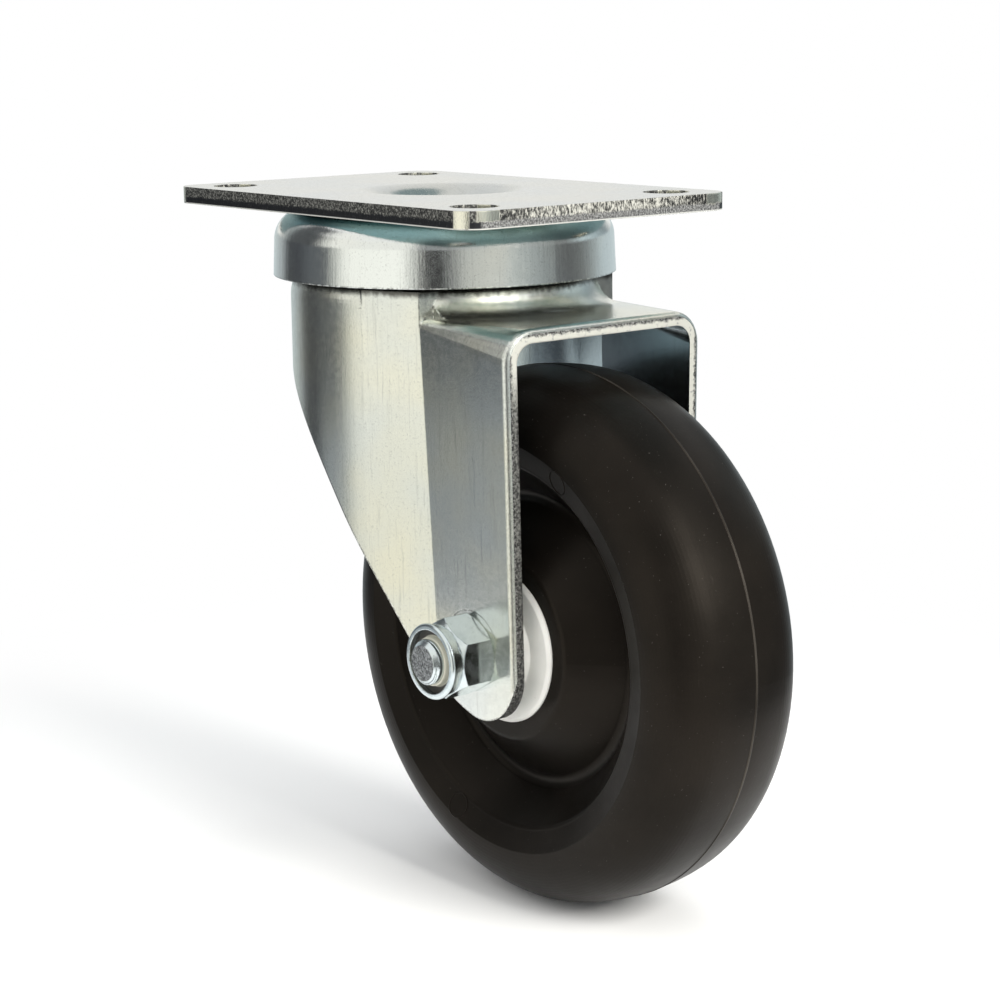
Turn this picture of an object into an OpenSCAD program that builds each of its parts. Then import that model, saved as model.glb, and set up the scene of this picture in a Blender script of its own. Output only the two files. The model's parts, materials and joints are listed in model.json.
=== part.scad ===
// Swivel castor with a pressed steel fork, a top plate and a one-piece polymer wheel.
// Millimetres, +Z up. The origin is on the swivel axis, in the mounting face of the top plate.
// +X points the way the wheel is offset (the open front of the fork), and the axle lies along Y.

/* [Overall] */
// Height from the floor to the mounting face
overall_height = 130; // [124:1:140]
// Distance of the wheel axle in front of the swivel axis
axle_offset = 34.5; // [31:0.5:38]

/* [Top plate] */
// Length of the plate along X
plate_length = 93; // [86:0.5:105]
// Width of the plate along Y
plate_width = 62; // [60:0.5:80]
// Sheet thickness of the plate
plate_thickness = 3.2; // [3:0.1:4.5]
// Radius of the plate's corners
plate_corner_radius = 5; // [3:0.5:9]
// Hole spacing along X
hole_spacing_x = 75; // [72:0.5:76.5]
// Hole spacing along Y
hole_spacing_y = 45; // [43:0.5:48]
// Diameter of the four fixing holes
hole_diameter = 8.5; // [6.5:0.5:9]
// Radius at which the plate starts to dip into its dish
dish_rim_radius = 16.5; // [15.5:0.5:18]
// Depth of the pressed dish
dish_depth = 3.5; // [3:0.25:4]
// Rounding of the dish's rim, on the upper face
dish_rim_rounding = 5.5; // [5:0.25:7]
// Rounding of the foot of the dish, on the upper face
dish_foot_rounding = 2; // [1:0.25:3]

/* [Swivel bearing] */
// Height of the bearing cup below the plate
cup_height = 12.3; // [11:0.1:14]
// Sheet thickness of the bearing cup
cup_thickness = 2; // [1.6:0.1:2.4]
// Rounding of the cup's upper edge
cup_rounding = 5.8; // [4:0.1:7]
// How far the cup's mouth flares out
cup_flare = 0.3; // [0:0.1:0.6]
// Gap between the cup's wall and the fork's bell
cup_mouth_gap = 0.85; // [0.5:0.05:1.5]
// Diameter of the upper balls
upper_ball_diameter = 6.35; // [5.5:0.05:6.5]
// Number of upper balls
upper_ball_count = 18; // [12:1:18]
// Pitch radius of the upper ball race
upper_pitch_radius = 21; // [20.5:0.25:22]
// Diameter of the lower balls
lower_ball_diameter = 5; // [4:0.25:5]
// Number of lower balls
lower_ball_count = 14; // [10:1:14]
// Pitch radius of the lower ball race
lower_pitch_radius = 13; // [12.5:0.25:14]
// Depth of each race groove
race_depth = 0.6; // [0.3:0.05:0.8]
// Running gap between the balls and their races
race_gap = 0.1; // [0.05:0.01:0.15]
// Thickness of the lower race
lower_race_thickness = 3; // [2:0.25:4]
// Width of the lower race's land outside its balls
lower_race_land = 1.5; // [1:0.25:2.5]
// Diameter of the kingpin
kingpin_diameter = 12; // [10:0.5:13]
// Step of the kingpin under the lower race, on the radius
kingpin_step = 1; // [0.5:0.25:1.5]
// Width of the kingpin's heads outside its shank
kingpin_head_land = 2.5; // [1.5:0.25:3]
// Thickness of the kingpin's upper head
kingpin_head_height = 1.6; // [1:0.1:2]
// Height of the kingpin's riveted lower head
kingpin_rivet_height = 3; // [2:0.25:4]
// Gap between the kingpin and the fork's crown
kingpin_gap = 1.5; // [0.5:0.25:2]

/* [Fork] */
// Sheet thickness of the fork
fork_thickness = 2.5; // [2:0.1:3]
// Outer radius of the bell round the swivel axis
bell_radius = 29.45; // [29:0.05:30.5]
// Rounding of the bell's upper shoulder
bell_shoulder = 9; // [6:0.25:9.5]
// Angle between the bell's cheeks and the legs
cheek_angle = 21; // [19:0.5:24]
// Gap between the cup's mouth and the top of the cheeks
cheek_top_gap = 0.6; // [0.4:0.1:1.5]
// Drop from the cup's mouth to the flat shelf of the fork
shelf_drop = 5.4; // [4.5:0.1:7]
// Rounding where the bell meets the shelf
shelf_rounding = 5; // [3:0.25:5.5]
// Rounding of the sheared front edge, on the outer face
front_edge_rounding = 1.1; // [0.3:0.1:1.4]
// Bend radius of the leg at the fork's open front
bend_front = 6; // [4.5:0.25:7]
// Bend radius of the leg where it leaves the bell
bend_back = 0.6; // [0.5:0.1:1]
// How far each leg leans in at the axle
leg_lean = 1; // [0:0.1:1.5]
// Radius of the leg's end
leg_end_radius = 9.5; // [8:0.1:12]
// Distance of the centre of the leg's end in front of the axle
leg_end_forward = 2.2; // [0:0.1:4]
// Distance of the centre of the leg's end below the axle
leg_end_drop = 2.6; // [0:0.1:4]
// Distance of the leg's rear edge from the axle
leg_rear_reach = 13.4; // [12.5:0.1:14.5]
// Angle of the leg's rear edge from the horizontal
leg_rear_angle = 58.7; // [56:0.1:61]
// Rounding between the leg's rear edge and its end
leg_rear_rounding = 25; // [20:1:35]
// Radius of the cut that sweeps up to the back of the bell
skirt_sweep_radius = 85; // [70:1:110]
// Length of the straight rear edge above its rounding
leg_rear_straight = 29; // [24:0.5:34]

/* [Wheel] */
// Gap between the tread and the fork's shelf
wheel_top_gap = 6.6; // [4:0.1:9]
// Width of the wheel
wheel_width = 32; // [30:0.5:33]
// Gap between the wheel's side and the fork's leg
wheel_side_gap = 4.6; // [4:0.1:5]
// Crown radius of the tread
tread_crown_radius = 35; // [25:1:60]
// Width of the crowned middle of the tread
tread_crown_width = 14; // [10:0.5:18]
// Height of the mould's parting line on the tread
parting_line_height = 0.12; // [0.05:0.01:0.3]
// Width of the mould's parting line
parting_line_width = 0.5; // [0.3:0.05:1]
// Radius of the edge of the side recess
recess_radius = 33; // [31:0.25:35]
// How far the edge of the recess lies inside the wheel's side
recess_edge_depth = 1.4; // [0.5:0.1:2.5]
// Rounding of the edges of the recess
recess_edge_rounding = 1.5; // [0.5:0.1:2]
// Rounding of the foot of the recess
recess_foot_rounding = 3.5; // [1:0.25:4]
// Thickness of the web between hub and rim
web_thickness = 14; // [8:0.5:18]
// Draft angle of the walls of the recess
recess_draft = 32; // [20:1:40]
// Radius of the hub
hub_radius = 18; // [17:0.25:19]
// Draft angle of the hub's wall
hub_draft = 40; // [5:1:45]
// How far the hub's face lies inside the wheel's side
hub_face_depth = 1; // [0.5:0.1:2]

/* [Wheel bushes] */
// Radius of the bush's flange
bush_flange_radius = 14; // [12.5:0.25:14.5]
// Thickness of the bush's flange
bush_flange_thickness = 1.8; // [1.4:0.1:2.2]
// How far the flange stands out of the hub
bush_flange_proud = 0.9; // [0.4:0.1:1.2]
// Wall of the bush's barrel and nose
bush_wall = 3; // [2:0.25:4]
// Length of the bush's barrel in the hub
bush_barrel_length = 11; // [8:0.5:12.5]
// Gap between the bush's nose and the leg
bush_end_gap = 0.2; // [0.1:0.05:0.4]

/* [Axle] */
// Diameter of the axle bolt
bolt_diameter = 8; // [7:0.1:9]
// Clearance of the bolt in its holes, on the radius
bolt_clearance = 0.25; // [0.1:0.05:0.5]
// Wall of the axle sleeve
sleeve_wall = 1.75; // [1.25:0.05:2.25]
// Clearance of the bolt in the sleeve, on the radius
sleeve_clearance = 0.2; // [0.1:0.05:0.4]
// Running clearance of the bushes on the sleeve, on the radius
bush_clearance = 0.05; // [0.02:0.01:0.1]
// Size of the bolt's head across flats
bolt_head_flats = 13; // [12:0.1:16]
// Height of the bolt's head
bolt_head_height = 5.3; // [4:0.1:7]
// Size of the locknut across flats
nut_flats = 13; // [12.5:0.1:16]
// Height of the locknut's hexagon
nut_hex_height = 7; // [5:0.1:8]
// Height of the locknut's round collar above its hexagon
nut_collar_height = 2.7; // [1.6:0.1:3]
// Diameter of the locknut's collar
nut_collar_diameter = 13.8; // [12.5:0.1:15]
// Wall of the locknut's collar round its insert
nut_collar_wall = 0.9; // [0.8:0.05:1.6]
// Rounding of the collar's rim
nut_rim_rounding = 0.6; // [0.4:0.1:1.2]
// Step under the collar's rolled rim
nut_rim_step = 0.3; // [0.1:0.05:0.5]
// How far the rim is rolled in over the insert
nut_rim_lip = 0.2; // [0.1:0.05:0.6]
// Width of the insert's raised lip round the bolt
nut_insert_lip = 0.5; // [0.4:0.1:1]
// Depth of the groove between that lip and the rim
nut_groove_depth = 1.4; // [0.8:0.1:1.8]
// How far the insert sits down in the hexagon
nut_insert_seat = 0.2; // [0.1:0.05:0.5]
// Turn of the locknut's hexagon from the horizontal
nut_turn = 30; // [0:1:60]
// How far the bolt stands out of the locknut
bolt_end_length = 1.5; // [1:0.1:3]

/* [Hidden] */
$fn = 96;

// Allowance by which cutting shapes overrun the faces that they cut
over = 1;
// Clearance of a part pressed or screwed on to its neighbour, on the radius
snug = 0.02;
// Number of steps in a drawn arc
arc_steps = 20;
// Thickness of the slices between which a hull is drawn
slice = 0.01;
// Slope of the chamfers on the hexagons, and the size of their end circles against the flats
hex_chamfer_angle = 40;
hex_end_share = 0.98;
// Slope of the lip round the wheel's recess
lip_slope = 10;
// Angle that the rounding of the front edge takes up, and its number of steps
edge_angle = 80;
edge_steps = 5;

// Heights in the swivel bearing, from the plate downwards
cup_ceiling_z = -plate_thickness - cup_thickness;
cup_mouth_z = -plate_thickness - cup_height;
upper_groove_radius = upper_ball_diameter / 2 + race_gap;
upper_ball_z = cup_ceiling_z + race_depth - upper_groove_radius;
crown_z = upper_ball_z - upper_groove_radius + race_depth;
lower_groove_radius = lower_ball_diameter / 2 + race_gap;
lower_ball_z = crown_z - fork_thickness + race_depth - lower_groove_radius;
lower_race_z = lower_ball_z - lower_groove_radius + race_depth;
rivet_z = lower_race_z - lower_race_thickness;
kingpin_radius = kingpin_diameter / 2;
kingpin_head_radius = kingpin_radius + kingpin_head_land;
cup_inner_radius = bell_radius + cup_mouth_gap;
cup_outer_radius = cup_inner_radius + cup_thickness;

// Wheel, which fills the height that the swivel bearing and the fork leave
shelf_z = cup_mouth_z - shelf_drop;
wheel_diameter = overall_height + shelf_z - fork_thickness - wheel_top_gap;
wheel_radius = wheel_diameter / 2;
wheel_half = wheel_width / 2;
axle_z = wheel_radius - overall_height;

// Fork
leg_inner = wheel_half + wheel_side_gap;
leg_outer = leg_inner + fork_thickness;
cheek_top_z = cup_mouth_z - cheek_top_gap;
fork_front = axle_offset + leg_end_forward + leg_end_radius;
fork_floor = axle_z - leg_end_drop - leg_end_radius - over;
lean_slope = leg_lean / (shelf_z - axle_z);
lean_angle = atan(lean_slope);
floor_lean = lean_slope * (shelf_z - fork_floor + over);
nut_seat = leg_outer - leg_lean;
channel_back = bell_radius / 2;
shoulder_r = bell_radius - bell_shoulder;
shoulder_z = crown_z - bell_shoulder;

// Centre of the rounding between the bell's shoulder and the shelf, and the tilt at which they meet
fillet_z = shelf_z + shelf_rounding;
fillet_tilt = asin((fillet_z - shoulder_z) / (bell_shoulder + shelf_rounding));
fillet_r = shoulder_r + (bell_shoulder + shelf_rounding) * cos(fillet_tilt);

// Bushes
sleeve_inner = bolt_diameter / 2 + sleeve_clearance;
sleeve_outer = sleeve_inner + sleeve_wall;
bush_bore = sleeve_outer + bush_clearance;
bush_outer = bush_bore + bush_wall;
sleeve_half = leg_inner - leg_lean - lean_slope * sleeve_outer;
hub_face = wheel_half - hub_face_depth;
flange_seat = hub_face + bush_flange_proud - bush_flange_thickness;

// Axle
nut_height = nut_hex_height + nut_collar_height;
bolt_end = nut_seat + nut_height + bolt_end_length;
nut_corner = nut_flats / 2 / cos(30);
head_corner = bolt_head_flats / 2 / cos(30);
seat_radius = max(nut_corner, head_corner) + bolt_clearance;
collar_radius = nut_collar_diameter / 2;
insert_outer = collar_radius - nut_collar_wall;
insert_z = nut_hex_height - nut_insert_seat;

zinc = [0.74, 0.76, 0.76];
bright_zinc = [0.80, 0.83, 0.85];
ball_steel = [0.62, 0.63, 0.65];
black_polymer = [0.07, 0.065, 0.06];
white_nylon = [0.92, 0.91, 0.88];

// Points of an arc about [x, y], from angle a to angle b
function arc(x, y, r, a, b) =
    [for (i = [0 : arc_steps]) let (t = a + (b - a) * i / arc_steps) [x + r * cos(t), y + r * sin(t)]];

// Points of an outline in reverse order, with its second coordinate changed in sign
function mirrored(points) = [for (i = [len(points) - 1 : -1 : 0]) [points[i][0], -points[i][1]]];

// Stands a shape that was revolved about Z on the wheel's axle, with its +Z along -Y
module on_axle() {
    translate([axle_offset, 0, axle_z]) rotate([90, 0, 0]) children();
}

module rounded_rectangle(length, width, radius) {
    square([length - 2 * radius, width], center = true);
    square([length, width - 2 * radius], center = true);
    for (x = [-1, 1], y = [-1, 1])
        translate([x * (length / 2 - radius), y * (width / 2 - radius)]) circle(radius);
}

// Ring groove or ring of round section about Z
module ring(pitch, radius, z) {
    translate([0, 0, z]) rotate_extrude() translate([pitch, 0]) circle(radius);
}

// Hexagon along Z with its corners turned down to a cone at the chosen ends
module hexagon(corner, height, chamfer_low, chamfer_high) {
    end_circle = corner * cos(30) * hex_end_share;
    rim = corner + snug;
    fall = (rim - end_circle) * tan(hex_chamfer_angle);
    intersection() {
        cylinder(r = corner, h = height, $fn = 6);
        rotate_extrude() polygon([
            [0, 0],
            [chamfer_low ? end_circle : rim, 0],
            [rim, chamfer_low ? fall : 0],
            [rim, chamfer_high ? height - fall : height],
            [chamfer_high ? end_circle : rim, height],
            [0, height],
        ]);
    }
}

// Angle at which the two arcs of the dish's wall meet
dish_slope = acos(1 - dish_depth / (dish_rim_rounding + dish_foot_rounding));
dish_floor_radius = dish_rim_radius - (dish_rim_rounding + dish_foot_rounding) * sin(dish_slope);

// Outline of the plate's dish at a depth below the upper face, from the rim to the floor
function dish_wall(depth) = concat(
    arc(dish_rim_radius, -dish_rim_rounding, dish_rim_rounding - depth, 90, 90 + dish_slope),
    arc(dish_floor_radius, dish_foot_rounding - dish_depth, dish_foot_rounding + depth,
        270 + dish_slope, 270)
);

module top_plate() {
    color(zinc) difference() {
        union() {
            translate([0, 0, -plate_thickness]) linear_extrude(plate_thickness)
                rounded_rectangle(plate_length, plate_width, plate_corner_radius);
            rotate_extrude() polygon(concat(
                [[0, -plate_thickness / 2], [dish_rim_radius, -plate_thickness / 2]],
                dish_wall(plate_thickness),
                [[0, -dish_depth - plate_thickness]]
            ));
        }
        rotate_extrude() polygon(concat(
            [[0, over], [dish_rim_radius, over]],
            dish_wall(0),
            [[0, -dish_depth]]
        ));
        translate([0, 0, -dish_depth - plate_thickness - over])
            cylinder(r = kingpin_radius + snug, h = plate_thickness + 2 * over);
        for (x = [-1, 1], y = [-1, 1])
            translate([x * hole_spacing_x / 2, y * hole_spacing_y / 2, -plate_thickness - over])
                cylinder(d = hole_diameter, h = plate_thickness + 2 * over);
    }
}

module bearing_cup() {
    corner_z = -plate_thickness - cup_rounding;
    corner_r = cup_outer_radius - cup_rounding;
    color(zinc) difference() {
        rotate_extrude() polygon(concat(
            [[dish_rim_radius, -plate_thickness]],
            arc(corner_r, corner_z, cup_rounding, 90, 0),
            [
                [cup_outer_radius + cup_flare, cup_mouth_z],
                [cup_inner_radius + cup_flare, cup_mouth_z],
            ],
            arc(corner_r, corner_z, cup_rounding - cup_thickness, 0, 90),
            [[dish_rim_radius, cup_ceiling_z]]
        ));
        ring(upper_pitch_radius, upper_groove_radius, upper_ball_z);
    }
}

module kingpin() {
    foot_radius = kingpin_radius - kingpin_step;
    dome = kingpin_rivet_height;
    dome_radius = (pow(kingpin_head_radius, 2) + pow(dome, 2)) / (2 * dome);
    dome_angle = asin(kingpin_head_radius / dome_radius);
    head_chamfer = kingpin_head_height / 3;
    color(bright_zinc) rotate_extrude() polygon(concat(
        [
            [0, -dish_depth + kingpin_head_height],
            [kingpin_head_radius - head_chamfer, -dish_depth + kingpin_head_height],
            [kingpin_head_radius, -dish_depth + kingpin_head_height - head_chamfer],
            [kingpin_head_radius, -dish_depth],
            [kingpin_radius, -dish_depth],
            [kingpin_radius, lower_race_z],
            [foot_radius, lower_race_z],
            [foot_radius, rivet_z],
        ],
        arc(0, rivet_z - dome + dome_radius, dome_radius, 270 + dome_angle, 270)
    ));
}

module lower_race() {
    outer = lower_pitch_radius + lower_ball_diameter / 2 + lower_race_land;
    inner = kingpin_radius - kingpin_step + snug;
    chamfer = lower_race_thickness / 3;
    color(zinc) difference() {
        rotate_extrude() polygon([
            [inner, lower_race_z],
            [outer, lower_race_z],
            [outer, rivet_z + chamfer],
            [outer - chamfer, rivet_z],
            [inner, rivet_z],
        ]);
        ring(lower_pitch_radius, lower_groove_radius, lower_ball_z);
    }
}

module balls(count, pitch, diameter, z) {
    for (i = [0 : count - 1])
        rotate([0, 0, 360 * i / count]) translate([pitch, 0, z]) sphere(d = diameter);
}

module upper_balls() {
    color(ball_steel) balls(upper_ball_count, upper_pitch_radius, upper_ball_diameter, upper_ball_z);
}

module lower_balls() {
    color(ball_steel) balls(lower_ball_count, lower_pitch_radius, lower_ball_diameter, lower_ball_z);
}

// Round drum of the fork's bell with its rounded shoulder, set in by the given distance
module bell(inset) {
    radius = bell_radius - inset;
    rotate_extrude() polygon(concat(
        [[0, fork_floor - inset], [radius, fork_floor - inset]],
        arc(shoulder_r, shoulder_z, bell_shoulder - inset, 0, 90),
        [[0, crown_z - inset]]
    ));
}

// Distance from the swivel axis to the crease where a cheek, set in by the given distance, meets
// the face of a leg
function crease_x(face, inset) = (bell_radius - inset - face * cos(cheek_angle)) / sin(cheek_angle);

// The two flat cheeks that run from the bell's sides to a front plane, cut back to a notch above
// the shelf
module cheeks(inset, front, notch_x, notch_z) {
    meet_x = (bell_radius - inset) * sin(cheek_angle);
    meet_y = (bell_radius - inset) * cos(cheek_angle);
    front_y = meet_y - (front - meet_x) * tan(cheek_angle);
    low = fork_floor - inset;
    difference() {
        translate([0, 0, low]) linear_extrude(cheek_top_z - inset - low) polygon([
            [0, -front_y],
            [meet_x, -meet_y],
            [front, -front_y],
            [front, front_y],
            [meet_x, meet_y],
            [0, front_y],
        ]);
        translate([notch_x, -bell_radius, notch_z]) cube([bell_radius, 2 * bell_radius, -notch_z]);
    }
}

// Bend radius of the leg on its outer face, which grows towards the open front
function bend_at(x) =
    bend_back + (bend_front - bend_back) * (x - channel_back) / (fork_front - channel_back);

// Thin slice across the channel at x, with rounded upper corners and legs that lean in
module channel_slice(x, half, top, radius) {
    centre_z = top - radius;
    centre_y = half - lean_slope * (shelf_z - centre_z) - radius / cos(lean_angle);
    flat = centre_y + radius * sin(lean_angle);
    translate([x, -flat, centre_z]) cube([slice, 2 * flat, radius]);
    for (side = [-1, 1]) {
        translate([x, side * centre_y, centre_z]) rotate([-side * lean_angle, 90, 0])
            cylinder(r = radius, h = slice, $fn = 32);
        translate([x, side * (half - floor_lean) - (side + 1) / 2 * radius, fork_floor - over])
            cube([slice, radius, over]);
    }
}

// How far the rounded front edge lies behind the outer faces, at an angle of its rounding
function edge_fall(a) = front_edge_rounding * (1 - cos(a));

// Channel of shelf and legs as the outer faces bound it, with its front edge rounded over
module channel_outside() {
    hull() {
        channel_slice(channel_back, leg_outer, shelf_z, bend_at(channel_back));
        for (a = [0 : edge_angle / edge_steps : edge_angle])
            channel_slice(
                fork_front - slice - front_edge_rounding * (sin(edge_angle) - sin(a)),
                leg_outer - edge_fall(a),
                shelf_z - edge_fall(a),
                bend_at(fork_front) - edge_fall(a)
            );
    }
}

// Length of the room between the legs, with sharp corners, from x to x + length
module between_legs(x, length) {
    low = fork_floor - over;
    low_half = leg_inner - floor_lean;
    top = shelf_z - fork_thickness;
    top_half = leg_inner - lean_slope * fork_thickness;
    translate([x, 0, 0]) rotate([90, 0, 90]) linear_extrude(length)
        polygon([[-low_half, low], [low_half, low], [top_half, top], [-top_half, top]]);
}

// Room inside the channel: its corners are sharp at the back, and round where the bend is wider
// than the sheet
module channel_inside() {
    sharp_end = channel_back
        + (fork_thickness - bend_back) * (fork_front - channel_back) / (bend_front - bend_back);
    front = fork_front + 2 * over;
    between_legs(channel_back - over, sharp_end - channel_back + over);
    hull() {
        between_legs(sharp_end - slice, slice);
        channel_slice(front, leg_inner, shelf_z - fork_thickness, bend_at(front) - fork_thickness);
    }
}

// Part of a shape that lies over the shelf, between the bends of the legs
module over_shelf(margin) {
    half = leg_outer - margin;
    intersection() {
        children();
        translate([0, -half, fork_floor]) cube([2 * bell_radius, 2 * half, -fork_floor]);
    }
}

// Rounding of the upper face where the bell's shoulder runs out into the shelf
module shelf_fillet() {
    low = shelf_z - fork_thickness / 2;
    over_shelf(bend_at(bell_radius)) rotate_extrude() polygon(concat(
        [[shoulder_r, shoulder_z], [shoulder_r, low], [fillet_r, low]],
        arc(fillet_r, fillet_z, shelf_rounding, 270, 180 + fillet_tilt)
    ));
}

// Room below that rounding, so that the sheet keeps its thickness round the step
module shelf_fillet_inside() {
    low = shelf_z - fork_thickness - over;
    over_shelf(fork_thickness + bend_at(bell_radius)) rotate_extrude() polygon(concat(
        [[shoulder_r, shoulder_z]],
        arc(fillet_r, fillet_z, shelf_rounding + fork_thickness, 180 + fillet_tilt, 270),
        [[fillet_r, low], [shoulder_r, low]]
    ));
}

// Side view of the fork: straight front edge, round leg end, slanting rear edge and the sweep up
// to the back of the bell. Drawn with X across and Z up.
module side_outline() {
    // Unit vectors along the rear edge, downwards, and from that edge into the leg
    along = [cos(leg_rear_angle), -sin(leg_rear_angle)];
    into = [sin(leg_rear_angle), cos(leg_rear_angle)];
    axle = [axle_offset, axle_z];
    end = axle + [leg_end_forward, -leg_end_drop];
    // Centre of the rounding that touches both the rear edge and the round end
    lift = (leg_rear_rounding - leg_rear_reach) * into;
    gap = axle + lift - end;
    reach = leg_rear_rounding - leg_end_radius;
    slide = gap * along + sqrt(pow(gap * along, 2) - gap * gap + pow(reach, 2));
    round_centre = axle + lift - slide * along;
    edge_low = round_centre - leg_rear_rounding * into;
    edge_high = edge_low - leg_rear_straight * along;
    sweep_centre = edge_high - skirt_sweep_radius * into;
    low_angle = atan2(-into[1], -into[0]);
    end_angle = atan2(end[1] - round_centre[1], end[0] - round_centre[0]);
    back = -bell_radius - over;
    back_angle = acos((back - sweep_centre[0]) / skirt_sweep_radius);
    polygon(concat(
        [[back, 0], [fork_front + over, 0], [fork_front + over, end[1]]],
        arc(end[0], end[1], leg_end_radius, 0, end_angle),
        arc(round_centre[0], round_centre[1], leg_rear_rounding, end_angle, low_angle),
        arc(sweep_centre[0], sweep_centre[1], skirt_sweep_radius, 90 - leg_rear_angle, back_angle)
    ));
}

module fork() {
    notch_x = crease_x(leg_outer, 0);
    low_crease = crease_x(leg_outer - floor_lean, 0);
    inner_crease = crease_x(leg_inner - floor_lean, fork_thickness);
    color(zinc) difference() {
        intersection() {
            union() {
                bell(0);
                cheeks(0, low_crease, notch_x, shelf_z - bend_at(low_crease));
                channel_outside();
                shelf_fillet();
            }
            rotate([90, 0, 0]) linear_extrude(2 * bell_radius + 2 * over, center = true)
                side_outline();
        }
        bell(fork_thickness);
        cheeks(fork_thickness, inner_crease, notch_x - fork_thickness, shelf_z - fork_thickness);
        channel_inside();
        shelf_fillet_inside();
        ring(upper_pitch_radius, upper_groove_radius, upper_ball_z);
        ring(lower_pitch_radius, lower_groove_radius, lower_ball_z);
        translate([0, 0, crown_z - fork_thickness - over])
            cylinder(r = kingpin_radius + kingpin_gap, h = fork_thickness + 2 * over);
        on_axle() cylinder(
            r = bolt_diameter / 2 + bolt_clearance,
            h = 2 * leg_outer + 2 * over,
            center = true
        );
        for (side = [-1, 1])
            on_axle() translate([0, 0, side * (nut_seat + over / 2)])
                cylinder(r = seat_radius, h = over, center = true);
    }
}

module axle_sleeve() {
    color(bright_zinc) on_axle() difference() {
        cylinder(r = sleeve_outer, h = 2 * sleeve_half, center = true);
        cylinder(r = sleeve_inner, h = 2 * sleeve_half + 2 * over, center = true);
    }
}

module axle_bolt() {
    radius = bolt_diameter / 2;
    chamfer = bolt_diameter / 10;
    color(bright_zinc) on_axle() union() {
        translate([0, 0, -nut_seat - bolt_head_height])
            hexagon(head_corner, bolt_head_height, true, false);
        rotate_extrude() polygon([
            [0, -nut_seat - bolt_head_height / 2],
            [radius, -nut_seat - bolt_head_height / 2],
            [radius, bolt_end - chamfer],
            [radius - chamfer, bolt_end],
            [0, bolt_end],
        ]);
    }
}

module axle_nut() {
    rim_r = collar_radius - nut_rim_rounding;
    rim_z = nut_height - nut_rim_rounding;
    neck_r = collar_radius - nut_rim_step;
    neck_z = rim_z - nut_rim_step;
    color(bright_zinc) on_axle() translate([0, 0, nut_seat]) difference() {
        union() {
            rotate([0, 0, nut_turn]) hexagon(nut_corner, nut_hex_height, true, true);
            rotate_extrude() polygon(concat(
                [[0, insert_z], [rim_r, insert_z], [neck_r, neck_z], [neck_r, rim_z]],
                arc(rim_r, rim_z, nut_rim_rounding, 0, 90),
                [[0, nut_height]]
            ));
        }
        translate([0, 0, -over]) cylinder(r = bolt_diameter / 2 + snug, h = nut_height + 2 * over);
        translate([0, 0, insert_z])
            cylinder(r = insert_outer, h = nut_height - nut_rim_rounding / 2 - insert_z);
        translate([0, 0, insert_z]) cylinder(r = insert_outer - nut_rim_lip, h = nut_height);
    }
}

module nut_insert() {
    bore = bolt_diameter / 2 + snug;
    outer = insert_outer - snug;
    lip = bore + nut_insert_lip;
    lip_z = nut_height - nut_insert_lip / 2;
    groove_z = nut_height - nut_groove_depth;
    color(white_nylon) on_axle() translate([0, 0, nut_seat]) rotate_extrude() polygon([
        [bore, insert_z],
        [outer, insert_z],
        [outer, groove_z],
        [lip, groove_z],
        [lip - nut_insert_lip / 3, lip_z],
        [bore, lip_z],
    ]);
}

// Half of the wheel's section, from the hub's bore round the recess to the middle of the tread.
// The first coordinate is the radius, and the second the distance from the middle plane.
function wheel_half_section() =
    let (
        edge = recess_edge_rounding,
        crown_base = wheel_radius - parting_line_height - tread_crown_radius,
        crown_slope_set = asin(tread_crown_width / 2 / tread_crown_radius),
        shoulder_set = (wheel_half - tread_crown_width / 2) / (1 - sin(crown_slope_set)),
        // Largest rounding of the tread's shoulder that the wall outside the recess has room for
        wall_r = recess_radius + 2 * edge - crown_base,
        rest = tread_crown_radius - wheel_half,
        shoulder_room = (tread_crown_radius + wheel_half - wall_r * wall_r / rest) / 2,
        shoulder = min(shoulder_set, shoulder_room),
        shoulder_y = wheel_half - shoulder,
        crown_slope = asin(shoulder_y / (tread_crown_radius - shoulder)),
        shoulder_x = crown_base + (tread_crown_radius - shoulder) * cos(crown_slope),
        web_half = web_thickness / 2,
        recess_edge_y = wheel_half - recess_edge_depth,
        hub_foot = hub_radius + (hub_face - web_half) * tan(hub_draft),
        rim_foot = recess_radius - (recess_edge_y - web_half) * tan(recess_draft),
        foot = min(recess_foot_rounding, (rim_foot - hub_foot) / 2),
        ridge = parting_line_width / 2,
        ridge_slope = asin(ridge / tread_crown_radius)
    )
    concat(
        [
            [bush_outer + snug, 0],
            [bush_outer + snug, flange_seat],
            [bush_flange_radius + snug, flange_seat],
            [bush_flange_radius + snug, hub_face],
        ],
        arc(hub_radius - edge, hub_face - edge, edge, 90, hub_draft),
        arc(hub_foot + foot, web_half + foot, foot, 180 + hub_draft, 270),
        arc(rim_foot - foot, web_half + foot, foot, 270, 360 - recess_draft),
        arc(recess_radius + edge, recess_edge_y - edge, edge, 180 - recess_draft, 90 + lip_slope),
        arc(shoulder_x, shoulder_y, shoulder, 90, crown_slope),
        arc(crown_base, 0, tread_crown_radius, crown_slope, ridge_slope),
        [[wheel_radius, ridge / 2]]
    );

module wheel() {
    half = wheel_half_section();
    color(black_polymer) on_axle() rotate_extrude() polygon(concat(half, mirrored(half)));
}

// White flanged bush for one side of the hub, with its nose towards +Z
module bush() {
    barrel_end = flange_seat - bush_barrel_length;
    nose_end = sleeve_half - bush_end_gap;
    flange_top = flange_seat + bush_flange_thickness;
    edge = bush_flange_thickness / 3;
    rotate_extrude() polygon([
        [bush_bore, barrel_end],
        [bush_outer, barrel_end],
        [bush_outer, flange_seat],
        [bush_flange_radius, flange_seat],
        [bush_flange_radius, flange_top - edge],
        [bush_flange_radius - edge, flange_top],
        [bush_outer, flange_top],
        [bush_outer - edge, nose_end],
        [bush_bore, nose_end],
    ]);
}

module near_bush() {
    color(white_nylon) on_axle() bush();
}

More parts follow.
